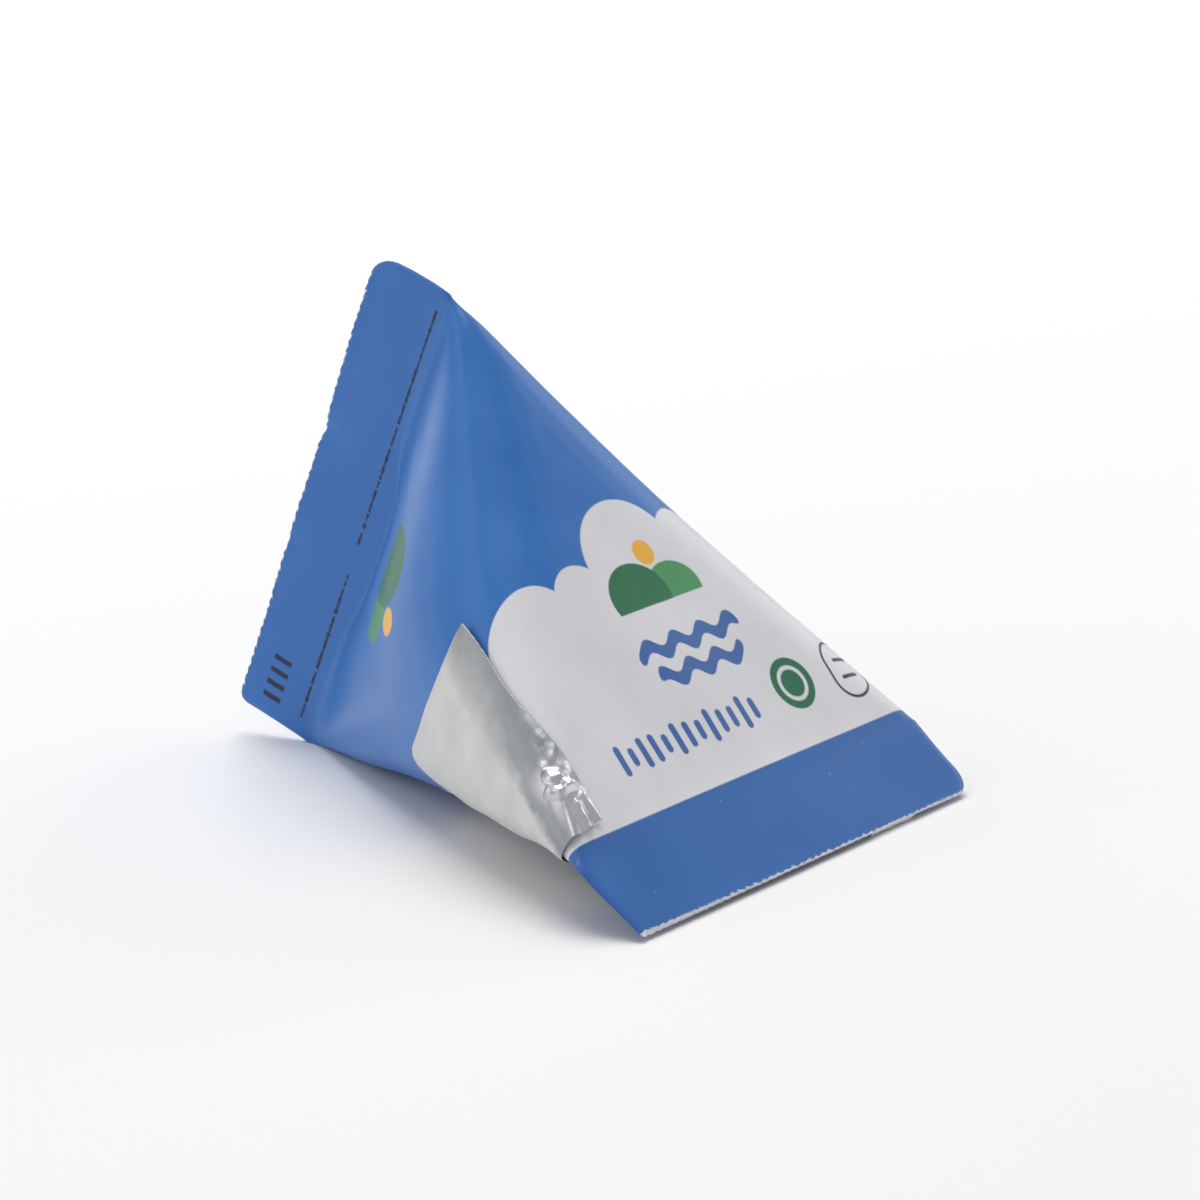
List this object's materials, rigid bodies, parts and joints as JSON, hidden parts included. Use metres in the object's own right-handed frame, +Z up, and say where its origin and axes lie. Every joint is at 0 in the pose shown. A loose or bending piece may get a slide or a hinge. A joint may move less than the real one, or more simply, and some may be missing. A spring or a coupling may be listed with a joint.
{
  "type": "milk portion pack",
  "caption": "Small four-sided milk portion pack: a paper tube sealed flat at both ends, with a foil pull tab.",
  "frame": {"origin": "on the surface it stands on, under the middle of its bounding box", "axes": "+X from the upright seal towards the lower seal, +Y along the lower seal away from the pull tab, +Z up"},
  "size_m": [0.063, 0.0474, 0.0459],
  "materials": {
    "printed_paper": "printed and coated carton paper, satin",
    "matte_foil": "matte aluminium foil, crinkled at its fixed end"
  },
  "bodies": {
    "root": {"carton": "printed_paper", "pull_tab": "matte_foil"}
  },
  "joints": []
}
